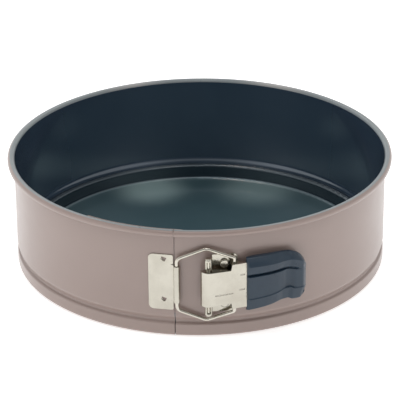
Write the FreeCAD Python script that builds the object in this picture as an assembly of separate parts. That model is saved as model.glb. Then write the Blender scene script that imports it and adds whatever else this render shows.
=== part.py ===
import FreeCAD, Part
import math
import os

os.makedirs("parts", exist_ok=True)

# Springform cake pan, nominal 24 cm.  Millimetres.  +Z is up, the clasp is at the
# front (-Y), the pan rests on z = 0.  Angles run from the front (-Y) towards +X.

SHEET = 0.5             # ring strip thickness
WALL_R = 120.25         # mid-sheet radius of the ring wall
LIP_REACH = 117.2       # how far the bottom lip is turned in
LIP_BEND = 1.9
BEAD_Z = 9.8            # deepest line of the pressed-in bead above the bottom band
BEAD_DOWN = 2.2         # height of its short lower side
BEAD_UP = 5.2           # height of its long upper side
BEAD_DEPTH = 1.7
RIM_Z = 70.9            # centre of the rolled rim
RIM_R = 2.1             # mid-sheet radius of the rolled rim
RIM_END = 215.0         # degrees turned by the roll, from the wall

SEAM = -7.7             # end of the left-hand wing
SEAM_GAP = 0.25
SPRING_ANGLE = 36.0     # where the wings start to spring, each side of the back
SPRING_GAP = 0.10       # half gap in degrees at the spring line

TONGUE_OUT = 119.65     # outer face of the overlap tongue
TONGUE_IN = 119.15
TONGUE_END = -35.0
TONGUE_LOW = 15.6
TONGUE_TOP = 72.4

BASE_SHEET = 0.8
FLOOR_R = 113.9         # mid-sheet radius of the step up from the floor
FLANGE_Z = 10.3
SKIRT_R = 117.6
SKIRT_LOW = 1.2

CLASP_Z = 37.1          # middle height of the clasp
OUTER = WALL_R + SHEET / 2.0
PLATE_HALF = 18.7
BRACKET_HALF = 19.4
ANCHOR_PLATE = 0.7
BRACKET_PLATE = 0.8
TUBE_X = -14.5
TUBE_R = 1.95
TUBE_OUT = 2.75         # tube axis, distance out from the wall
TUBE_HALF = 12.3
WIRE_R = 1.15
WIRE_FIT = 0.10
PIN_X = 4.7
PIN_OUT = 6.0           # pin axis, distance out from the wall
PIN_R = 1.3
PIN_FIT = 0.06
KNUCKLE_R = 2.3
KNUCKLE_LOW = 12.1
KNUCKLE_TOP = 18.5
WINDOW = 2.4            # width of the knuckle's open front
PIN_HEAD = 2.0
PEAK_AT = 17.9          # distance along the bail from its tube to its widest place
PEAK_HALF = 24.2
PEAK_BEND = 5.5
CORNER_HALF = 17.2      # where the bail turns away from its tube
WIRE_BEND = 4.0
STAKE_OFF = (-11.8, 15.5)
RIVET_X = 14.3
RIVET_OFF = 13.6
RIVET_HEAD = 2.8        # radius of a rivet's head
TIP_X = 20.5
TIP_OUT = 4.2
TIP_LOW = 15.2

LEVER_SHEET = 0.8
LEVER_HALF = 11.7
LEVER_CURL = 4.5        # mid-sheet radius of the lever nose about the pin
LEVER_SLOPE = 19.0      # the lever's front runs back towards the wall at this angle
WIDE_HALF = 14.9
WIDE_END = 27.0         # x where the straight front ends and the tang begins
TANG_END = 20.5
CREASES = ((8.6, 19.6, -4.4), (23.9, 26.8, 7.3), (23.4, 26.8, -2.6))

AXIS = FreeCAD.Vector(0, 0, 1)
ORIGIN = FreeCAD.Vector(0, 0, 0)


def polar(r, deg, z=0.0):
    a = math.radians(deg)
    return FreeCAD.Vector(r * math.sin(a), -r * math.cos(a), z)


def at_x(r, x, z=0.0):
    return FreeCAD.Vector(x, -math.sqrt(r * r - x * x), z)


def line(a, b):
    return Part.LineSegment(a, b).toShape()


def arc(a, b, c):
    return Part.Arc(a, b, c).toShape()


def on_circle(cx, cz, r, deg):
    a = math.radians(deg)
    return FreeCAD.Vector(cx + r * math.cos(a), 0, cz + r * math.sin(a))


def xz(x, z):
    return FreeCAD.Vector(x, 0, z)


def thick(wire, t):
    outline = wire.makeOffset2D(t / 2.0, 0, False, False, False)
    return Part.Face(outline)


def sector(face, start, end):
    part = face.copy()
    part.rotate(ORIGIN, AXIS, start - 90.0)
    return part.revolve(ORIGIN, AXIS, end - start)


def prism(points, z0, z1):
    ring = [FreeCAD.Vector(p.x, p.y, z0) for p in points]
    face = Part.Face(Part.makePolygon(ring + [ring[0]]))
    return face.extrude(FreeCAD.Vector(0, 0, z1 - z0))


def front_outline(points, radii, y0=-150.0, y1=-90.0):
    """Solid extruded along Y from a closed outline in x and z with rounded corners."""
    edges = []
    count = len(points)
    ends = []
    for i in range(count):
        p = FreeCAD.Vector(points[i][0], y0, points[i][1])
        a = FreeCAD.Vector(points[i - 1][0], y0, points[i - 1][1])
        b = FreeCAD.Vector(points[(i + 1) % count][0], y0, points[(i + 1) % count][1])
        u = (a - p).normalize()
        v = (b - p).normalize()
        half = math.acos(max(-1.0, min(1.0, u.dot(v)))) / 2.0
        r = radii[i]
        if r <= 0:
            ends.append((p, None, p))
            continue
        reach = r / math.tan(half)
        middle = (u + v).normalize()
        centre = p + middle * (r / math.sin(half))
        ends.append((p + u * reach, centre - middle * r, p + v * reach))
    for i in range(count):
        first, mid, last = ends[i]
        if mid is not None:
            edges.append(arc(first, mid, last))
        edges.append(line(last, ends[(i + 1) % count][0]))
    face = Part.Face(Part.Wire(edges))
    return face.extrude(FreeCAD.Vector(0, y1 - y0, 0))


def shell(r0, r1, half, start, end):
    """Curved plate that follows the ring wall, centred on the clasp height."""
    low = CLASP_Z - half
    high = CLASP_Z + half
    face = Part.Face(Part.makePolygon([xz(r0, low), xz(r1, low), xz(r1, high), xz(r0, high), xz(r0, low)]))
    return sector(face, start, end)


def save(name, shape):
    shape = shape.removeSplitter()
    for solid in shape.Solids:
        if not solid.isValid():
            print("not valid:", name)
    print(name, len(shape.Solids), "solid(s)", round(shape.Volume, 1), "mm3")
    shape.exportStep("parts/" + name + ".step")


# ------------------------------------------------------------------ ring strip

def ring_profile():
    """Closed section of the strip: bottom lip, band, pressed-in bead, wall, rolled rim."""
    half_lip = SHEET / 2.0
    low = BEAD_Z - BEAD_DOWN
    high = BEAD_Z + BEAD_UP
    deep = WALL_R - BEAD_DEPTH
    turn = 2.0 * math.atan2(BEAD_DEPTH, BEAD_DOWN)
    r = BEAD_DOWN / (2.0 * math.sin(turn))
    deg = math.degrees(turn)
    turn_up = 2.0 * math.atan2(BEAD_DEPTH, BEAD_UP)
    r_up = BEAD_UP / (2.0 * math.sin(turn_up))
    deg_up = math.degrees(turn_up)
    lip_bend = LIP_BEND
    corner = WALL_R - lip_bend
    rim_x = WALL_R + RIM_R
    edges = [
        line(xz(LIP_REACH, half_lip), xz(corner, half_lip)),
        arc(xz(corner, half_lip), on_circle(corner, half_lip + lip_bend, lip_bend, -45),
            xz(WALL_R, half_lip + lip_bend)),
        line(xz(WALL_R, half_lip + lip_bend), xz(WALL_R, low)),
        arc(xz(WALL_R, low), on_circle(WALL_R - r, low, r, deg / 2), on_circle(WALL_R - r, low, r, deg)),
        arc(on_circle(WALL_R - r, low, r, deg), on_circle(deep + r, BEAD_Z, r, 180 + deg / 2),
            xz(deep, BEAD_Z)),
        arc(xz(deep, BEAD_Z), on_circle(deep + r_up, BEAD_Z, r_up, 180 - deg_up / 2),
            on_circle(deep + r_up, BEAD_Z, r_up, 180 - deg_up)),
        arc(on_circle(WALL_R - r_up, high, r_up, -deg_up),
            on_circle(WALL_R - r_up, high, r_up, -deg_up / 2), xz(WALL_R, high)),
        line(xz(WALL_R, high), xz(WALL_R, RIM_Z)),
        arc(xz(WALL_R, RIM_Z), on_circle(rim_x, RIM_Z, RIM_R, 90), on_circle(rim_x, RIM_Z, RIM_R, 0)),
        arc(on_circle(rim_x, RIM_Z, RIM_R, 0), on_circle(rim_x, RIM_Z, RIM_R, (180 - RIM_END) / 2),
            on_circle(rim_x, RIM_Z, RIM_R, 180 - RIM_END)),
    ]
    return thick(Part.Wire(edges), SHEET)


profile = ring_profile()
spring_left = -(180.0 - SPRING_ANGLE)
spring_right = 180.0 - SPRING_ANGLE

ring_back = sector(profile, spring_right + SPRING_GAP, 360.0 + spring_left - SPRING_GAP)
ring_left = sector(profile, spring_left + SPRING_GAP, SEAM)
ring_right = sector(profile, SEAM + SEAM_GAP, spring_right - SPRING_GAP)

# Overlap tongue of the right wing: cranked inwards at the seam, then it lies inside
# the left wing, above the pressed-in bead, and stops with a plain edge.
crank = SEAM + 0.4
root = SEAM + 2.6
tongue_edges = [
    arc(polar(TONGUE_OUT, TONGUE_END), polar(TONGUE_OUT, (TONGUE_END + crank) / 2),
        polar(TONGUE_OUT, crank)),
    line(polar(TONGUE_OUT, crank), polar(WALL_R - 0.1, root)),
    line(polar(WALL_R - 0.1, root), polar(WALL_R - 0.1 - SHEET, root)),
    line(polar(WALL_R - 0.1 - SHEET, root), polar(TONGUE_IN, crank)),
    arc(polar(TONGUE_IN, crank), polar(TONGUE_IN, (TONGUE_END + crank) / 2), polar(TONGUE_IN, TONGUE_END)),
    line(polar(TONGUE_IN, TONGUE_END), polar(TONGUE_OUT, TONGUE_END)),
]
tongue = Part.Face(Part.Wire(tongue_edges)).extrude(FreeCAD.Vector(0, 0, TONGUE_TOP - TONGUE_LOW))
tongue.translate(FreeCAD.Vector(0, 0, TONGUE_LOW))
ring_right = ring_right.fuse(tongue)

# ------------------------------------------------------------------ base

def base_profile():
    """Sunk floor, step up, flange and turned-down skirt, as one closed half section."""
    t = BASE_SHEET
    floor = t / 2.0
    bend = 1.3
    foot = 2.4
    edges = [
        line(xz(4.0, floor), xz(FLOOR_R - foot, floor)),
        arc(xz(FLOOR_R - foot, floor), on_circle(FLOOR_R - foot, floor + foot, foot, -45),
            xz(FLOOR_R, floor + foot)),
        line(xz(FLOOR_R, floor + foot), xz(FLOOR_R, FLANGE_Z - bend)),
        arc(xz(FLOOR_R, FLANGE_Z - bend), on_circle(FLOOR_R + bend, FLANGE_Z - bend, bend, 135),
            xz(FLOOR_R + bend, FLANGE_Z)),
        line(xz(FLOOR_R + bend, FLANGE_Z), xz(SKIRT_R - bend, FLANGE_Z)),
        arc(xz(SKIRT_R - bend, FLANGE_Z), on_circle(SKIRT_R - bend, FLANGE_Z - bend, bend, 45),
            xz(SKIRT_R, FLANGE_Z - bend)),
        line(xz(SKIRT_R, FLANGE_Z - bend), xz(SKIRT_R, SKIRT_LOW)),
    ]
    return thick(Part.Wire(edges), t)


base_disc = base_profile().revolve(ORIGIN, AXIS, 360)
base_disc = base_disc.fuse(Part.makeCylinder(6.0, BASE_SHEET))

# ------------------------------------------------------------------ anchor plate

def degrees_at(r, x):
    return math.degrees(math.asin(x / r))


tube_centre = at_x(OUTER + TUBE_OUT, TUBE_X)
anchor_end = degrees_at(OUTER, -16.3)
anchor = shell(OUTER, OUTER + ANCHOR_PLATE, PLATE_HALF, degrees_at(OUTER, -32.5), anchor_end)
anchor_outline = front_outline(
    [(-31.8, CLASP_Z - PLATE_HALF), (-16.6, CLASP_Z - PLATE_HALF), (-16.6, CLASP_Z - TUBE_HALF),
     (-11.8, CLASP_Z - TUBE_HALF), (-11.8, CLASP_Z + TUBE_HALF), (-16.6, CLASP_Z + TUBE_HALF),
     (-16.6, CLASP_Z + PLATE_HALF), (-31.8, CLASP_Z + PLATE_HALF)],
    [3.0, 1.2, 0.6, 0, 0, 0.6, 1.2, 3.0])
anchor = anchor.common(anchor_outline)
tube_low = FreeCAD.Vector(tube_centre.x, tube_centre.y, CLASP_Z - TUBE_HALF)
anchor = anchor.fuse(Part.makeCylinder(TUBE_R, 2 * TUBE_HALF, tube_low, AXIS))
roll_root = [at_x(OUTER + 0.05, -18.2), at_x(OUTER + 0.4, -15.7), at_x(OUTER + 1.2, -14.7),
             at_x(OUTER + 2.3, -16.1), at_x(OUTER + ANCHOR_PLATE - 0.05, -18.2)]
anchor = anchor.fuse(prism(roll_root, CLASP_Z - TUBE_HALF, CLASP_Z + TUBE_HALF))
anchor = anchor.cut(Part.makeCylinder(WIRE_R + WIRE_FIT, 2 * TUBE_HALF + 2,
                                      tube_low - FreeCAD.Vector(0, 0, 1), AXIS))

# Two three-cornered pierced clinches hold the anchor plate to the strip: a hole with
# a small lug turned up beside it.
for offset in STAKE_OFF:
    z = CLASP_Z + offset
    pocket = front_outline([(-24.2, z + 1.9), (-20.6, z + 0.9), (-22.0, z - 1.7)], [0.3, 0.4, 0.3])
    anchor = anchor.cut(pocket.common(shell(OUTER - 0.2, OUTER + 2, PLATE_HALF, degrees_at(OUTER, -32.5),
                                            anchor_end)))
    lug = front_outline([(-24.4, z + 0.9), (-22.3, z - 1.7), (-24.2, z - 1.6)], [0.3, 0.3, 0.3])
    anchor = anchor.fuse(lug.common(shell(OUTER + ANCHOR_PLATE / 2, OUTER + ANCHOR_PLATE + 0.5, PLATE_HALF,
                                          degrees_at(OUTER, -32.5), anchor_end)))

# ------------------------------------------------------------------ bracket plate

pin_centre = at_x(OUTER + PIN_OUT, PIN_X)
bracket = shell(OUTER, OUTER + BRACKET_PLATE, BRACKET_HALF, degrees_at(OUTER, 6.7), degrees_at(OUTER, 23.5))
bracket_outline = front_outline(
    [(6.9, CLASP_Z - BRACKET_HALF), (22.5, CLASP_Z - BRACKET_HALF), (22.5, CLASP_Z + BRACKET_HALF),
     (6.9, CLASP_Z + BRACKET_HALF)], [0.6, 3.0, 3.0, 0.6])
bracket = bracket.common(bracket_outline)
web = BRACKET_PLATE
for side in (-1, 1):
    z = CLASP_Z + side * (KNUCKLE_LOW + KNUCKLE_TOP) / 2
    tall = KNUCKLE_TOP - KNUCKLE_LOW
    foot = FreeCAD.Vector(pin_centre.x, pin_centre.y, z - tall / 2)
    knuckle = Part.makeCylinder(KNUCKLE_R, tall, foot, AXIS)
    web_right = pin_centre.x + KNUCKLE_R
    corners = [FreeCAD.Vector(web_right - web, pin_centre.y, 0), FreeCAD.Vector(web_right, pin_centre.y, 0),
               at_x(OUTER + 0.1, web_right), at_x(OUTER + 0.1, web_right - web)]
    knuckle = knuckle.fuse(prism(corners, z - tall / 2, z + tall / 2))
    knuckle = knuckle.cut(Part.makeCylinder(PIN_R, tall + 2, foot - FreeCAD.Vector(0, 0, 1), AXIS))
    # The knuckle is rolled from sheet and stays open at the front, where the pin shows.
    opening = Part.makeBox(WINDOW, KNUCKLE_R, tall - 0.9)
    opening.translate(FreeCAD.Vector(pin_centre.x - WINDOW / 2 + 0.2, pin_centre.y - KNUCKLE_R - 0.6,
                                     z - tall / 2 + (0.0 if side > 0 else 0.9)))
    knuckle = knuckle.cut(opening)
    bracket = bracket.fuse(knuckle)

rivets = []
for side in (-1, 1):
    z = CLASP_Z + side * RIVET_OFF
    seat = at_x(OUTER, RIVET_X, z)
    out = FreeCAD.Vector(seat.x, seat.y, 0).normalize()
    head = Part.makeCylinder(RIVET_HEAD, 1.7, seat + out * BRACKET_PLATE, out)
    head = head.makeFillet(1.0, [e for e in head.Edges if e.BoundBox.Center.distanceToPoint(
        seat + out * (BRACKET_PLATE + 1.7)) < 0.4 and e.Length > 10])
    shank = Part.makeCylinder(1.4, BRACKET_PLATE + SHEET + 0.3, seat - out * (SHEET + 0.2), out)
    tail = Part.makeCylinder(2.2, 0.45, seat - out * (SHEET + 0.45), out)
    rivet = head.fuse(shank).fuse(tail)
    rivets.append(rivet)
    bracket = bracket.cut(rivet)
    ring_right = ring_right.cut(rivet)

# ------------------------------------------------------------------ hinge pin

pin_tall = 2 * KNUCKLE_TOP + 0.1
pin_foot = FreeCAD.Vector(pin_centre.x, pin_centre.y, CLASP_Z - pin_tall / 2)
pin = Part.makeCylinder(PIN_R, pin_tall, pin_foot, AXIS)
for end, way in ((0.0, -1.0), (pin_tall, 1.0)):
    seat = pin_foot + FreeCAD.Vector(0, 0, end)
    head = Part.makeCylinder(PIN_HEAD, 0.9, seat, AXIS * way)
    crown = [e for e in head.Edges if abs(e.BoundBox.Center.z - (seat.z + 0.9 * way)) < 0.01]
    pin = pin.fuse(head.makeFillet(0.7, crown))

# ------------------------------------------------------------------ bail wire

def rounded_path(points, radii):
    edges = []
    start = points[0]
    for i in range(1, len(points) - 1):
        p = points[i]
        radius = radii[i]
        u = (points[i - 1] - p).normalize()
        v = (points[i + 1] - p).normalize()
        half = math.acos(max(-1.0, min(1.0, u.dot(v)))) / 2.0
        reach = radius / math.tan(half)
        middle = (u + v).normalize()
        centre = p + middle * (radius / math.sin(half))
        first = p + u * reach
        last = p + v * reach
        edges.append(line(start, first))
        edges.append(arc(first, centre - middle * radius, last))
        start = last
    edges.append(line(start, points[-1]))
    return Part.Wire(edges)


tip = at_x(OUTER + TIP_OUT, TIP_X)
along = (tip - tube_centre)
bail_length = along.Length
along = along.normalize()


def bail_point(s, z):
    p = tube_centre + along * s
    return FreeCAD.Vector(p.x, p.y, CLASP_Z + z)


bail_path = rounded_path([
    bail_point(bail_length, -TIP_LOW),
    bail_point(bail_length, -(TIP_LOW + 3.0)),
    bail_point(PEAK_AT, -PEAK_HALF),
    bail_point(0, -CORNER_HALF),
    bail_point(0, CORNER_HALF),
    bail_point(PEAK_AT, PEAK_HALF),
    bail_point(bail_length, TIP_LOW + 3.0),
    bail_point(bail_length, TIP_LOW),
], [0, 1.6, PEAK_BEND, WIRE_BEND, WIRE_BEND, PEAK_BEND, 1.6, 0])
section = Part.Wire(Part.makeCircle(WIRE_R, bail_point(bail_length, -TIP_LOW), AXIS))
sweep = Part.BRepOffsetAPI.MakePipeShell(bail_path)
sweep.setFrenetMode(False)
sweep.setTransitionMode(0)
sweep.add(section)
sweep.build()
sweep.makeSolid()
bail = sweep.shape()

# ------------------------------------------------------------------ lever

def around_pin(r, deg):
    a = math.radians(deg)
    return FreeCAD.Vector(pin_centre.x + r * math.cos(a), pin_centre.y + r * math.sin(a), 0)


def front_at(x, behind=0.0):
    """Point on the mid-sheet line of the lever's straight front, or behind it."""
    a = math.radians(LEVER_SLOPE)
    y = nose_end.y + (x - nose_end.x) * math.tan(a)
    return FreeCAD.Vector(x - behind * math.sin(a), y + behind * math.cos(a), 0)


nose_start = 185.0
nose_end = around_pin(LEVER_CURL, 270 + LEVER_SLOPE)
wide_end = front_at(WIDE_END)
lever_path = Part.Wire([
    arc(around_pin(LEVER_CURL, nose_start), around_pin(LEVER_CURL, (nose_start + 270) / 2), nose_end),
    line(nose_end, wide_end),
    arc(wide_end, polar(126.7, 16.2), polar(126.6, TANG_END)),
])
lever_face = thick(lever_path, LEVER_SHEET)
lever = lever_face.extrude(FreeCAD.Vector(0, 0, 2 * WIDE_HALF))
lever.translate(FreeCAD.Vector(0, 0, CLASP_Z - WIDE_HALF))
c = CLASP_Z
lever_outline = front_outline(
    [(-5.0, c - LEVER_HALF), (18.5, c - LEVER_HALF + 0.7), (19.2, c - WIDE_HALF), (30.5, c - WIDE_HALF),
     (33.0, c - 9.0), (60.0, c - 9.0), (60.0, c + 9.0), (33.0, c + 9.0), (30.5, c + WIDE_HALF),
     (19.2, c + WIDE_HALF), (18.5, c + LEVER_HALF - 0.7), (-5.0, c + LEVER_HALF)],
    [0, 0.6, 0.8, 2.0, 2.0, 0, 0, 2.0, 2.0, 0.8, 0.6, 0])
lever = lever.common(lever_outline)

# Cheeks folded back from the narrow front plate carry the hinge pin; ears folded back
# from the wide part face the ends of the bail.
cheek = [around_pin(LEVER_CURL, 200), around_pin(LEVER_CURL, 225), around_pin(LEVER_CURL, 250),
         around_pin(LEVER_CURL, 270), nose_end, front_at(18.2), front_at(17.0, 2.2),
         front_at(13.0, 4.0), around_pin(3.2, 40), around_pin(3.2, 70), around_pin(3.2, 100),
         around_pin(3.2, 130), around_pin(3.2, 160), around_pin(LEVER_CURL, 186)]
ear = [front_at(19.0), front_at(26.4), front_at(26.6, 1.8), front_at(25.4, 3.6), front_at(23.6, 5.2),
       front_at(21.2, 5.6), front_at(19.9, 5.0), front_at(19.0, 3.0)]
for side in (-1, 1):
    outer_z = c + side * (LEVER_HALF - 0.7)
    inner_z = c + side * (LEVER_HALF - 0.7 - LEVER_SHEET)
    lever = lever.fuse(prism(cheek, min(outer_z, inner_z), max(outer_z, inner_z)))
    outer_z = c + side * WIDE_HALF
    inner_z = c + side * (WIDE_HALF - LEVER_SHEET)
    lever = lever.fuse(prism(ear, min(outer_z, inner_z), max(outer_z, inner_z)))
    wire_end = FreeCAD.Vector(tip.x, tip.y, outer_z - 1.5)
    lever = lever.cut(Part.makeCylinder(WIRE_R + 0.15, 3.0, wire_end, AXIS))
bore_foot = FreeCAD.Vector(pin_centre.x, pin_centre.y, c - 20)
lever = lever.cut(Part.makeCylinder(PIN_R + PIN_FIT, 40, bore_foot, AXIS))

# Shallow creases pressed in the front: a long one low down, two short ones beside the grip.
for start_x, end_x, height in CREASES:
    crease_from = front_at(start_x, -LEVER_SHEET / 2 - 0.2)
    crease_run = front_at(end_x, -LEVER_SHEET / 2 - 0.2) - crease_from
    foot = FreeCAD.Vector(crease_from.x, crease_from.y, c + height)
    lever = lever.cut(Part.makeCylinder(0.45, crease_run.Length, foot, crease_run))

# ------------------------------------------------------------------ grip

def grip_plan(front, back):
    pts = front + list(reversed(back))
    return Part.Face(Part.makePolygon([polar(r, d) for r, d in pts] + [polar(front[0][0], front[0][1])]))


front_line = [(128.2, 12.7), (129.9, 13.1), (130.3, 14.5), (130.3, 17.0), (129.9, 19.5), (129.2, 21.8),
              (128.3, 23.5), (127.7, 24.5), (127.8, 25.4), (128.7, 26.2), (129.3, 27.4), (129.5, 28.8),
              (129.2, 29.8), (128.0, 30.4)]
back_line = [(124.0, 12.7), (123.2, 13.4), (123.0, 16.0), (123.0, 19.0), (123.0, 22.0), (123.1, 25.0),
             (123.4, 27.5), (124.2, 29.6), (125.5, 30.4)]
grip = grip_plan(front_line, back_line).extrude(FreeCAD.Vector(0, 0, 44))
grip.translate(FreeCAD.Vector(0, 0, c - 22))
grip_outline = front_outline(
    [(28.0, c - 17.8), (44.6, c - 16.2), (53.4, c - 15.0), (60.5, c - 16.4), (65.4, c - 13.6),
     (65.4, c + 8.6), (61.8, c + 15.0), (54.4, c + 18.4), (37.0, c + 20.8), (28.0, c + 19.6)],
    [2.0, 8.0, 8.0, 3.0, 2.5, 2.5, 4.0, 8.0, 8.0, 2.0])
grip = grip.common(grip_outline)
# The grip is moulded round the lever's tang.
tang = thick(lever_path, LEVER_SHEET).extrude(FreeCAD.Vector(0, 0, 2 * WIDE_HALF))
tang.translate(FreeCAD.Vector(0, 0, CLASP_Z - WIDE_HALF))
grip = grip.cut(tang.common(lever_outline))

save("ring_back", ring_back)
save("ring_left", ring_left)
save("ring_right", ring_right)
save("base_disc", base_disc)
save("anchor_plate", anchor)
save("bracket_plate", bracket)
save("bracket_rivets", Part.makeCompound(rivets))
save("hinge_pin", pin)
save("bail_wire", bail)
save("lever_plate", lever)
save("grip", grip)
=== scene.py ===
import math

import bpy
from mathutils import Matrix, Vector


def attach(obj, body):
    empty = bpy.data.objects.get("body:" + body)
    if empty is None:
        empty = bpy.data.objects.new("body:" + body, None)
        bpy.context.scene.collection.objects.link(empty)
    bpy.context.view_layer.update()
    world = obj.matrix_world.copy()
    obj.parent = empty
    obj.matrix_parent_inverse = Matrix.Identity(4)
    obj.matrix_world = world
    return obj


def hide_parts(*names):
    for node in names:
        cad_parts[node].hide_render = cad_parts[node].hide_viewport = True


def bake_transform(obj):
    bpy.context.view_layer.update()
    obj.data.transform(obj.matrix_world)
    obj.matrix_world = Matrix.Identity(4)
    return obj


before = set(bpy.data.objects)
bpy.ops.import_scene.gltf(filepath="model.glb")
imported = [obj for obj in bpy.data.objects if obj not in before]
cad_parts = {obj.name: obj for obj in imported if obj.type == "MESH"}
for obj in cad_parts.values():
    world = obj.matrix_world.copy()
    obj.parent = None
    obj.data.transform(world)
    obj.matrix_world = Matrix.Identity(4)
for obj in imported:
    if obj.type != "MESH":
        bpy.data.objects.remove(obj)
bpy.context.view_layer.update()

MM = 0.001

# Sizes shared with the CAD, in millimetres.
SHEET = 0.5
WALL_R = 120.25
LIP_REACH = 117.2
LIP_BEND = 1.9
BEAD_Z = 9.8
BEAD_DOWN = 2.2
BEAD_UP = 5.2
BEAD_DEPTH = 1.7
RIM_Z = 70.9
RIM_R = 2.1
RIM_END = 215.0         # degrees that the rim is rolled through
ROLL_STEPS = 34
RIM_HIGHLIGHT_FROM = 18.0    # degrees round the roll where the rim's lighter grey, a painted highlight, begins
RIM_HIGHLIGHT_TO = 116.0     # and where the outside colour takes over
SEAM = -7.7             # degrees from the front, positive to the right
SEAM_GAP = 0.25
TONGUE_OUT = 119.65
TONGUE_IN = 119.15
TONGUE_END = -35.0
TONGUE_LOW = 15.6
TONGUE_TOP = 72.4
CLASP_Z = 37.1          # middle height of the clasp
OUTER = 120.5           # radius of the wall's outer face


# ---------------------------------------------------------------- helpers

def polar(r, deg, z):
    """Point in metres at radius r and height z, deg round from the front."""
    a = math.radians(deg)
    return (r * math.sin(a) * MM, -r * math.cos(a) * MM, z * MM)


def make_mesh(name, verts, faces, smooth=True):
    mesh = bpy.data.meshes.new(name)
    mesh.from_pydata([tuple(v) for v in verts], [], faces)
    mesh.update()
    if smooth:
        mesh.polygons.foreach_set("use_smooth", [True] * len(mesh.polygons))
    obj = bpy.data.objects.new(name, mesh)
    bpy.context.scene.collection.objects.link(obj)
    return obj


def arc_points(cx, cz, r, start, end, steps):
    """Points (x, z) on an arc with the unit vector away from its centre."""
    out = []
    for i in range(steps + 1):
        a = math.radians(start + (end - start) * i / steps)
        out.append((cx + r * math.cos(a), cz + r * math.sin(a), math.cos(a), math.sin(a)))
    return out


def ring_centreline():
    """Points (r, z) and the unit vector to the strip's outer side, from the bottom lip to the rim's end."""
    low = BEAD_Z - BEAD_DOWN
    high = BEAD_Z + BEAD_UP
    deep = WALL_R - BEAD_DEPTH
    # Each flank of the bead is two equal arcs, in and back.
    turn = 2.0 * math.atan2(BEAD_DEPTH, BEAD_DOWN)
    r = BEAD_DOWN / (2.0 * math.sin(turn))
    deg = math.degrees(turn)
    turn_up = 2.0 * math.atan2(BEAD_DEPTH, BEAD_UP)
    r_up = BEAD_UP / (2.0 * math.sin(turn_up))
    deg_up = math.degrees(turn_up)
    corner = WALL_R - LIP_BEND
    bend_z = SHEET / 2 + LIP_BEND
    pts = []
    for i in range(4):
        pts.append((LIP_REACH + (corner - LIP_REACH) * i / 4, SHEET / 2, 0.0, -1.0))
    pts += arc_points(corner, bend_z, LIP_BEND, -90, 0, 10)
    for i in range(1, 6):
        pts.append((WALL_R, bend_z + (low - bend_z) * i / 6, 1.0, 0.0))
    pts += arc_points(WALL_R - r, low, r, 0, deg, 8)
    bead = arc_points(deep + r, BEAD_Z, r, 180 + deg, 180, 8)
    pts += [(x, z, -nx, -nz) for x, z, nx, nz in bead[1:]]
    bead = arc_points(deep + r_up, BEAD_Z, r_up, 180, 180 - deg_up, 8)
    pts += [(x, z, -nx, -nz) for x, z, nx, nz in bead[1:-1]]
    pts += arc_points(WALL_R - r_up, high, r_up, -deg_up, 0, 8)
    wall_steps = 14
    for i in range(1, wall_steps):
        pts.append((WALL_R, high + (RIM_Z - high) * i / wall_steps, 1.0, 0.0))
    roll = arc_points(WALL_R + RIM_R, RIM_Z, RIM_R, 180, 180 - RIM_END, ROLL_STEPS)
    pts += [(x, z, -nx, -nz) for x, z, nx, nz in roll]
    return pts


def ring_strip(start, end, steps, cap_start, cap_end):
    """The strip as a thin sheet. Slot 0 is the outside coating, 1 the inside, 2 the rim's painted highlight,
    a lighter grey copy of the inside coat.
    """
    line = ring_centreline()
    half = SHEET / 2
    n = len(line)
    outer = [(x + half * nx, z + half * nz) for x, z, nx, nz in line]
    inner = [(x - half * nx, z - half * nz) for x, z, nx, nz in line]
    loop = outer + list(reversed(inner))
    m = len(loop)
    roll_from = n - 1 - ROLL_STEPS
    verts = []
    for s in range(steps + 1):
        deg = start + (end - start) * s / steps
        for r, z in loop:
            verts.append(polar(r, deg, z))
    faces = []
    slots = []
    for s in range(steps):
        for k in range(m):
            k2 = (k + 1) % m
            faces.append((s * m + k, (s + 1) * m + k, (s + 1) * m + k2, s * m + k2))
            # The rolled rim shows the sheet's inner face, so the coats change part of the way round it; on
            # its curve a lighter grey is painted on as highlight.
            turned = (m - 1 - k - roll_from) / ROLL_STEPS * RIM_END
            if k < n or turned >= RIM_HIGHLIGHT_TO:
                slots.append(0)
            elif turned < RIM_HIGHLIGHT_FROM:
                slots.append(1)
            else:
                slots.append(2)
    # A cut end has its own corners, so that its edge stays sharp.
    for capped, row in ((cap_start, 0), (cap_end, steps)):
        if capped:
            base = len(verts)
            verts += [verts[row * m + k] for k in range(m)]
            ring = [base + k for k in range(m)]
            for k in range(n - 1):
                faces.append((ring[k], ring[k + 1], ring[m - 2 - k], ring[m - 1 - k]))
                slots.append(0)
    return verts, faces, slots


def tongue_shell():
    """The overlap behind the seam, coated like the rest: outside colour out, inside colour in."""
    crank = SEAM + 0.4
    root = SEAM + 2.6
    root_out = WALL_R - 0.1
    verts = []
    faces = []
    slots = []
    straight_steps = 60
    crank_steps = 6
    zs = [TONGUE_LOW, TONGUE_LOW + 0.3, 30.0, 45.0, 60.0, TONGUE_TOP - 0.4, TONGUE_TOP]
    inset = [0.12, 0.0, 0.0, 0.0, 0.0, 0.0, 0.12]
    m = 2 * len(zs)
    degs = [TONGUE_END + (crank - TONGUE_END) * i / straight_steps for i in range(straight_steps + 1)]
    degs += [crank + (root - crank) * i / crank_steps for i in range(1, crank_steps + 1)]
    for d in degs:
        t = max(0.0, min(1.0, (d - crank) / (root - crank)))
        t = t * t * (3 - 2 * t)
        out = TONGUE_OUT + (root_out - TONGUE_OUT) * t
        ins = TONGUE_IN + (root_out - SHEET - TONGUE_IN) * t
        for z, e in zip(zs, inset):
            verts.append(polar(out - e, d, z))
        for z, e in zip(reversed(zs), reversed(inset)):
            verts.append(polar(ins + e, d, z))
    for s in range(len(degs) - 1):
        for k in range(m):
            k2 = (k + 1) % m
            faces.append((s * m + k, (s + 1) * m + k, (s + 1) * m + k2, s * m + k2))
            slots.append(0 if k < len(zs) else 1)
    faces.append(tuple(range(m - 1, -1, -1)))
    last = (len(degs) - 1) * m
    faces.append(tuple(last + k for k in range(m)))
    slots += [0, 0]
    return verts, faces, slots


# ---------------------------------------------------------------- materials

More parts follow.
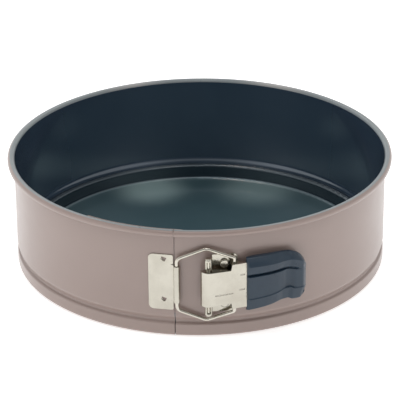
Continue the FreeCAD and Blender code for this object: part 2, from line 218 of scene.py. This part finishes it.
class Mat:
    """A procedural material with its texture space in object coordinates."""

    def __init__(self, name):
        self.mat = bpy.data.materials.new(name)
        self.mat.use_nodes = True
        self.tree = self.mat.node_tree
        self.tree.nodes.clear()
        self.out = self.add("ShaderNodeOutputMaterial")
        self.bsdf = self.add("ShaderNodeBsdfPrincipled")
        self.link(self.bsdf.outputs["BSDF"], self.out.inputs["Surface"])
        self.coord = self.add("ShaderNodeTexCoord").outputs["Object"]

    def add(self, kind):
        return self.tree.nodes.new(kind)

    def link(self, a, b):
        self.tree.links.new(a, b)

    def put(self, **values):
        """Constants straight onto the shader's sockets, with _ for a space in a socket's name."""
        for key, value in values.items():
            self.bsdf.inputs[key.replace("_", " ")].default_value = value

    def stretched(self, scale):
        node = self.add("ShaderNodeMapping")
        node.inputs["Scale"].default_value = scale
        self.link(self.coord, node.inputs["Vector"])
        return node.outputs["Vector"]

    def radius(self):
        """Distance from the pan's axis, in metres."""
        flat = self.add("ShaderNodeVectorMath")
        flat.operation = "MULTIPLY"
        flat.inputs[1].default_value = (1.0, 1.0, 0.0)
        self.link(self.coord, flat.inputs[0])
        length = self.add("ShaderNodeVectorMath")
        length.operation = "LENGTH"
        self.link(flat.outputs["Vector"], length.inputs[0])
        return length.outputs["Value"]

    def noise(self, scale, detail=4.0, rough=0.55, vector=None):
        node = self.add("ShaderNodeTexNoise")
        node.inputs["Scale"].default_value = scale
        node.inputs["Detail"].default_value = detail
        node.inputs["Roughness"].default_value = rough
        self.link(vector or self.coord, node.inputs["Vector"])
        return node.outputs["Fac"]

    def ramp(self, value, low, high, to_low, to_high):
        node = self.add("ShaderNodeMapRange")
        node.inputs["From Min"].default_value = low
        node.inputs["From Max"].default_value = high
        node.inputs["To Min"].default_value = to_low
        node.inputs["To Max"].default_value = to_high
        self.link(value, node.inputs["Value"])
        return node.outputs["Result"]

    def mix(self, factor, a, b):
        """Colour a where factor is 0, b where it is 1; each is an RGB tuple or a socket."""
        node = self.add("ShaderNodeMix")
        node.data_type = "RGBA"
        factor_in, a_in, b_in, colour_out = node.inputs[0], node.inputs[6], node.inputs[7], node.outputs[2]
        for colour, socket in ((a, a_in), (b, b_in)):
            if isinstance(colour, tuple):
                socket.default_value = (*colour, 1.0)
            else:
                self.link(colour, socket)
        self.link(factor, factor_in)
        return colour_out

    def bump(self, height, strength, distance, normal=None):
        node = self.add("ShaderNodeBump")
        node.inputs["Strength"].default_value = strength
        node.inputs["Distance"].default_value = distance
        self.link(height, node.inputs["Height"])
        if normal is not None:
            self.link(normal, node.inputs["Normal"])
        return node.outputs["Normal"]

    def soft_edges(self, radius):
        node = self.add("ShaderNodeBevel")
        node.samples = 4
        node.inputs["Radius"].default_value = radius
        return node.outputs["Normal"]


# Painted shade colour for the base's step, flange and skirt.
STEP_PAINTED_SHADE = (0.014, 0.026, 0.036)
STEP_R = 0.1130         # radius, in metres, where the base's step rises from its floor
STEP_FADE = 0.0004


def coating(name, dark, light, rough_low, rough_high, specular=0.6, grain=0.06, coat=0.0, coat_rough=0.22,
            tint=1.0, sheen=0.0, painted_step_shade=False):
    """Sprayed non-stick coating: cloudy colour, fine grain and a few rubbed spots."""
    m = Mat(name)
    clouds = m.noise(14.0, 3.0)
    fine = m.noise(900.0, 2.0)
    rub = m.noise(60.0, 6.0, 0.7)
    colour = m.mix(m.ramp(clouds, 0.35, 0.65, 0.0, 1.0), dark, light)
    if painted_step_shade:
        # Painted shade: the base's step, flange and skirt are darker than its floor, standing in for the
        # dark wall they reflect.
        outside = m.ramp(m.radius(), STEP_R - STEP_FADE, STEP_R + STEP_FADE, 0.0, 1.0)
        colour = m.mix(outside, colour, STEP_PAINTED_SHADE)
    m.link(colour, m.bsdf.inputs["Base Color"])
    m.link(m.ramp(rub, 0.3, 0.7, rough_low, rough_high), m.bsdf.inputs["Roughness"])
    m.put(Specular_IOR_Level=specular, Coat_Weight=coat, Coat_Roughness=coat_rough,
          Specular_Tint=(tint, tint + (1 - tint) * 0.6, 1.0, 1.0),
          Sheen_Weight=sheen, Sheen_Roughness=0.35, Sheen_Tint=(0.90, 0.97, 0.96, 1.0))
    ripple = m.bump(m.noise(35.0, 2.0), 0.05, 0.002)
    m.link(m.bump(fine, grain, 0.0002, ripple), m.bsdf.inputs["Normal"])
    return m.mat


def plated(name, dark, light, rough_low, rough_high, edge=0.0003, brush=(900.0, 900.0, 60.0)):
    """Nickel plate over stamped steel: faint drawing lines, clouded lustre, softened edges."""
    m = Mat(name)
    lines = m.noise(1.0, 3.0, 0.6, m.stretched(brush))
    clouds = m.noise(90.0, 3.0)
    colour = m.mix(m.ramp(clouds, 0.35, 0.65, 0.0, 1.0), dark, light)
    m.link(colour, m.bsdf.inputs["Base Color"])
    m.link(m.ramp(lines, 0.3, 0.7, rough_low, rough_high), m.bsdf.inputs["Roughness"])
    m.put(Metallic=1.0, Specular_IOR_Level=0.5)
    soft = m.soft_edges(edge)
    ripple = m.bump(m.noise(160.0, 2.0), 0.10, 0.0006, soft)
    m.link(m.bump(lines, 0.04, 0.0001, ripple), m.bsdf.inputs["Normal"])
    return m.mat


def moulded(name, dark, light, rough_low, rough_high):
    """Matt moulded plastic with a fine spark-eroded grain and slightly shinier worn spots."""
    m = Mat(name)
    grain = m.noise(1800.0, 3.0)
    wear = m.noise(110.0, 4.0, 0.6)
    colour = m.mix(m.ramp(wear, 0.35, 0.7, 0.0, 1.0), dark, light)
    m.link(colour, m.bsdf.inputs["Base Color"])
    m.link(m.ramp(wear, 0.3, 0.7, rough_low, rough_high), m.bsdf.inputs["Roughness"])
    m.put(Specular_IOR_Level=0.4, Coat_Weight=0.22, Coat_Roughness=0.14)
    m.link(m.bump(grain, 0.18, 0.00015), m.bsdf.inputs["Normal"])
    return m.mat


outer_coat = coating("outer_coat", (0.325, 0.246, 0.220), (0.344, 0.262, 0.235), 0.28, 0.36,
                     grain=0.08, coat=0.28, sheen=0.08)
inner_coat = coating("inner_coat", (0.030, 0.049, 0.078), (0.036, 0.058, 0.089), 0.18, 0.24,
                     specular=1.0, coat=1.0, coat_rough=0.10, tint=0.75)
# Painted highlight: a lighter grey copy of the inside coat for the rolled rim, standing in for light caught
# on its curve.
rim_painted_highlight = coating("rim_painted_highlight", (0.20, 0.23, 0.24), (0.24, 0.27, 0.28), 0.26, 0.36, coat=0.2)
base_coat = coating("base_coat", (0.047, 0.090, 0.106), (0.057, 0.104, 0.120), 0.20, 0.26,
                    specular=0.8, coat=0.45, coat_rough=0.14, tint=0.75, painted_step_shade=True)
nickel = plated("nickel", (0.49, 0.46, 0.395), (0.555, 0.53, 0.46), 0.10, 0.20)
nickel_wire = plated("nickel_wire", (0.56, 0.53, 0.46), (0.64, 0.61, 0.54), 0.03, 0.06)
plate_steel = plated("plate_steel", (0.49, 0.465, 0.40), (0.555, 0.53, 0.46), 0.12, 0.22)
grip_plastic = moulded("grip_plastic", (0.014, 0.031, 0.053), (0.019, 0.039, 0.063), 0.26, 0.38)


def finish_with(obj, material):
    obj.data.materials.clear()
    obj.data.materials.append(material)


# ---------------------------------------------------------------- ring strip

RING_STEP = 0.5         # degrees round the ring from one row of points to the next
BACK = 180.0            # degrees from the front to the back, where the two halves meet uncut


def build_ring(name, start, end, extra=None):
    """Half of the ring from one angle to the other, with extra (verts, faces, slots) joined on."""
    steps = int(abs(end - start) / RING_STEP)
    verts, faces, slots = ring_strip(start, end, steps, start > -BACK, end < BACK)
    if extra:
        base = len(verts)
        verts += extra[0]
        faces += [tuple(i + base for i in f) for f in extra[1]]
        slots += extra[2]
    obj = make_mesh(name, verts, faces)
    for coat in (outer_coat, inner_coat, rim_painted_highlight):
        obj.data.materials.append(coat)
    obj.data.polygons.foreach_set("material_index", slots)
    return obj


strip_left = build_ring("strip_left", -BACK, SEAM)
strip_right = build_ring("strip_right", SEAM + SEAM_GAP, BACK, tongue_shell())
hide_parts("ring_left", "ring_back")
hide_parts("ring_right", "ring_back")
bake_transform(strip_left)
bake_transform(strip_right)

for node, material, slot_name in (
        ("base_disc", base_coat, "base_coating"),
        ("anchor_plate", plate_steel, "clasp_plate"),
        ("bracket_plate", plate_steel, "clasp_plate"),
        ("bracket_rivets", plate_steel, "clasp_plate"),
        ("hinge_pin", nickel, "clasp_plate"),
        ("bail_wire", nickel_wire, "bail_wire"),
        ("lever_plate", nickel, "lever_plate")):
    finish_with(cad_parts[node], material)


# ---------------------------------------------------------------- grip

def through(table, u):
    """Smooth curve through (u, value) pairs, without overshoot."""
    count = len(table)
    slopes = [(table[i + 1][1] - table[i][1]) / (table[i + 1][0] - table[i][0]) for i in range(count - 1)]
    tangents = [slopes[0]]
    for a, b in zip(slopes, slopes[1:]):
        tangents.append(0.0 if a * b <= 0 else 2 * a * b / (a + b))
    tangents.append(slopes[-1])
    i = 0
    while i < count - 2 and u > table[i + 1][0]:
        i += 1
    u0, v0 = table[i]
    u1, v1 = table[i + 1]
    h = u1 - u0
    t = min(1.0, max(0.0, (u - u0) / h))
    t2 = t * t
    t3 = t2 * t
    return ((2 * t3 - 3 * t2 + 1) * v0 + (t3 - 2 * t2 + t) * h * tangents[i]
            + (3 * t2 - 2 * t3) * v1 + (t3 - t2) * h * tangents[i + 1])


def smooth_line(points, per_side):
    """Points of a Catmull-Rom curve through the given ones, at half tension so that creases stay sharp."""
    out = []
    last = len(points) - 1
    for i in range(last):
        p0 = points[max(i - 1, 0)]
        p1 = points[i]
        p2 = points[i + 1]
        p3 = points[min(i + 2, last)]
        for k in range(per_side):
            t = k / per_side
            blend = []
            for a, b, c, d in zip(p0, p1, p2, p3):
                m1 = (c - a) * 0.25
                m2 = (d - b) * 0.25
                t2 = t * t
                t3 = t2 * t
                blend.append((2 * t3 - 3 * t2 + 1) * b + (t3 - 2 * t2 + t) * m1
                             + (3 * t2 - 2 * t3) * c + (t3 - t2) * m2)
            out.append(tuple(blend))
    out.append(points[-1])
    return out


GRIP_START = 12.75      # degrees round the wall
GRIP_END = 30.45
GRIP_NOSE = 0.04        # the rounded ends, as parts of the length
GRIP_TAIL = 0.92
GRIP_MIDDLE = 5.6       # distance of its middle line out from the wall


def grip_section(u):
    """Closed section of the grip at u along it, as (height, distance out from the wall).

    top and low are the heights of its edges, ridge and line of the two long ridges, and crease of the
    groove under the upper ridge. reach is how far out the ridges stand, panel the flat between them and
    wall the side that faces the pan. sunk and under are the depths of the groove and the lower bevel.
    """
    top = through([(0.0, 18.0), (0.20, 18.4), (0.50, 18.5), (0.72, 17.8), (0.83, 16.3), (0.91, 14.2),
                      (0.96, 12.0), (1.0, 8.8)], u)
    low = -through([(0.0, 17.8), (0.20, 17.0), (0.42, 15.8), (0.60, 14.7), (0.70, 14.6), (0.78, 15.6),
                       (0.90, 15.9), (0.96, 14.8), (1.0, 12.4)], u)
    ridge = through([(0.0, 13.0), (0.45, 13.2), (0.72, 13.2), (0.86, 11.6), (0.95, 9.4), (1.0, 7.0)], u)
    crease = through([(0.0, 6.2), (0.35, 6.8), (0.62, 7.0), (0.80, 6.2), (1.0, 4.6)], u)
    line = -through([(0.0, 9.2), (0.28, 8.2), (0.50, 6.9), (0.64, 5.6), (0.70, 5.6), (0.78, 6.9),
                     (1.0, 7.4)], u)
    reach = through([(0.0, 9.2), (0.05, 10.0), (0.28, 10.1), (0.48, 9.4), (0.62, 8.3), (0.70, 8.2),
                        (0.78, 9.0), (0.90, 9.1), (1.0, 7.6)], u)
    panel = reach - through([(0.0, 0.5), (0.58, 0.6), (0.66, 1.5), (0.74, 1.5), (0.81, 0.6), (1.0, 0.4)], u)
    sunk = through([(0.0, 1.6), (0.05, 2.3), (0.45, 2.2), (0.70, 2.2), (0.80, 1.4), (0.90, 0.2),
                    (1.0, 0.0)], u)
    wall = through([(0.0, 3.2), (0.1, 2.5), (0.85, 2.6), (1.0, 4.2)], u)
    under = through([(0.0, 1.6), (0.05, 2.1), (0.9, 2.1), (1.0, 0.8)], u)
    front = [
        (low, wall + 0.9), (low + 0.15, reach - 4.0), (low + 0.7, reach - 3.3), (line - 1.3, reach - under),
        (line - 0.6, reach - under + 0.4), (line, reach), (line + 0.9, panel + 0.1), (-1.0, panel),
        (crease - 0.9, panel), (crease - 0.35, panel - 0.15), (crease, reach - 0.3 - sunk),
        (crease + 0.35, reach - 0.3 - sunk), (crease + 1.6, reach - 0.4 - sunk * 0.25),
        (ridge - 0.7, reach - 0.1),
        (ridge, reach), (ridge + 0.7, reach - 0.5),
        ((ridge + top) / 2, reach - 1.7), (top - 0.5, reach - 3.4), (top, reach - 4.4),
        (top - 0.1, wall + 0.9),
    ]
    outline = smooth_line(front, 7)
    back_steps = 12
    for k in range(1, back_steps):
        t = k / back_steps
        outline.append((top - 0.8 + (low + 0.8 - top + 0.8) * t, wall - 0.5 * math.sin(math.pi * t)))
    return outline


def grip_mesh():
    """Moulded grip lofted along the wall, rounded over at both ends."""
    rows = 110
    verts = []
    for i in range(rows + 1):
        u = i / rows
        section = grip_section(u)
        # Both ends are rounded: the section shrinks towards its middle line.
        close = 1.0
        if u < GRIP_NOSE:
            close = 0.80 + 0.20 * math.sqrt(1 - (1 - u / GRIP_NOSE) ** 2)
        if u > GRIP_TAIL:
            past = (u - GRIP_TAIL) / (1 - GRIP_TAIL)
            close = math.sqrt(max(0.0, 1 - past ** 2 * 0.66))
        deg = GRIP_START + (GRIP_END - GRIP_START) * u
        for z, out in section:
            r = OUTER + GRIP_MIDDLE + (out - GRIP_MIDDLE) * close
            verts.append(polar(r, deg, CLASP_Z + z * (0.97 + 0.03 * close)))
    around = len(section)
    faces = []
    for i in range(rows):
        for k in range(around):
            k2 = (k + 1) % around
            faces.append((i * around + k2, i * around + k, (i + 1) * around + k, (i + 1) * around + k2))
    faces.append(tuple(range(around)))
    faces.append(tuple(rows * around + k for k in range(around - 1, -1, -1)))
    return make_mesh("grip_moulded", verts, faces)


grip = grip_mesh()
grip.data.materials.append(grip_plastic)
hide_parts("grip")
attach(grip, "lever")


# ---------------------------------------------------------------- stage, light, camera

FLOOR_HALF = 6.0
FLOOR_Z = -0.0004
floor_corners = [(x * FLOOR_HALF, y * FLOOR_HALF, FLOOR_Z) for x, y in ((-1, -1), (1, -1), (1, 1), (-1, 1))]
floor = make_mesh("floor", floor_corners, [(0, 1, 2, 3)], smooth=False)
paper = Mat("paper")
paper_tone = paper.mix(paper.noise(3.0), (0.93, 0.93, 0.93), (0.95, 0.95, 0.95))
paper.link(paper_tone, paper.bsdf.inputs["Base Color"])
paper.put(Roughness=0.9, Specular_IOR_Level=0.1, Emission_Color=(1.0, 1.0, 1.0, 1.0), Emission_Strength=0.56)
floor.data.materials.append(paper.mat)


def studio_world():
    """Soft studio light: bright walls under a dimmer ceiling, the left wall brighter, the front dark."""
    world = bpy.data.worlds.new("studio")
    world.use_nodes = True
    nodes = world.node_tree.nodes
    links = world.node_tree.links

    def graded(value, low, high, at_low, at_high):
        node = nodes.new("ShaderNodeMapRange")
        node.inputs["From Min"].default_value = low
        node.inputs["From Max"].default_value = high
        node.inputs["To Min"].default_value = at_low
        node.inputs["To Max"].default_value = at_high
        links.new(value, node.inputs["Value"])
        return node.outputs["Result"]

    def times(a, b):
        node = nodes.new("ShaderNodeMath")
        node.operation = "MULTIPLY"
        links.new(a, node.inputs[0])
        links.new(b, node.inputs[1])
        return node.outputs["Value"]

    direction = nodes.new("ShaderNodeTexCoord").outputs["Generated"]
    split = nodes.new("ShaderNodeSeparateXYZ")
    links.new(direction, split.inputs["Vector"])
    height = graded(split.outputs["Z"], 0.15, 0.90, 1.0, 0.69)
    across = graded(split.outputs["X"], -1.0, 1.0, 1.10, 0.80)
    near = graded(split.outputs["Y"], -0.93, -0.52, 0.10, 1.0)
    nodes["Background"].inputs["Color"].default_value = (1.0, 1.0, 1.0, 1.0)
    links.new(times(times(height, across), near), nodes["Background"].inputs["Strength"])
    return world


def place_lamp(data, place, target):
    lamp = bpy.data.objects.new(data.name, data)
    lamp.location = place
    lamp.rotation_euler = (Vector(target) - Vector(place)).to_track_quat("-Z", "Y").to_euler()
    bpy.context.scene.collection.objects.link(lamp)


def area(name, place, target, size_x, size_y, power):
    data = bpy.data.lights.new(name, "AREA")
    data.shape = "RECTANGLE"
    data.size = size_x
    data.size_y = size_y
    data.energy = power
    place_lamp(data, place, target)


def spot(name, place, target, power, cone):
    """A warm lamp with a narrow soft-edged cone, for one pool of light on the base."""
    data = bpy.data.lights.new(name, "SPOT")
    data.energy = power
    data.spot_size = math.radians(cone)
    data.spot_blend = 1.0
    data.color = (1.0, 0.70, 0.58)
    data.shadow_soft_size = 0.01
    place_lamp(data, place, target)


bpy.context.scene.world = studio_world()
area("back_left", (-0.50, 0.85, 1.00), (0, 0, 0.03), 0.60, 0.60, 1.6)
area("back_right", (0.40, 0.85, 1.05), (0, 0, 0.03), 0.60, 0.60, 1.2)
area("over_front", (0.0, -0.45, 0.95), (0, 0.1, 0.03), 0.90, 0.10, 1.2)
spot("pool_left", (-0.10, 0.05, 1.0), (-0.034, 0.094, 0.0), 76.0, 3.2)
spot("pool_right", (0.10, 0.05, 1.0), (0.040, 0.093, 0.0), 48.0, 3.6)

ELEV = math.radians(25.0)
DIST = 1446.0 * MM
ROLL = -0.008
AIM = Vector((0.0, 0.0, 36.391 * MM))
camera_data = bpy.data.cameras.new("camera")
camera_data.lens = 198.0
camera_data.sensor_width = 36.0
camera_data.clip_start = 0.1
camera_data.clip_end = 20.0
camera = bpy.data.objects.new("camera", camera_data)
place = AIM + Vector((0.0, -DIST * math.cos(ELEV), DIST * math.sin(ELEV)))
turn = (AIM - place).to_track_quat("-Z", "Y").to_matrix().to_4x4()
camera.matrix_world = Matrix.Translation(place) @ turn @ Matrix.Rotation(ROLL, 4, "Z")
bpy.context.scene.collection.objects.link(camera)
bpy.context.scene.camera = camera
bpy.context.scene.view_settings.view_transform = "Standard"
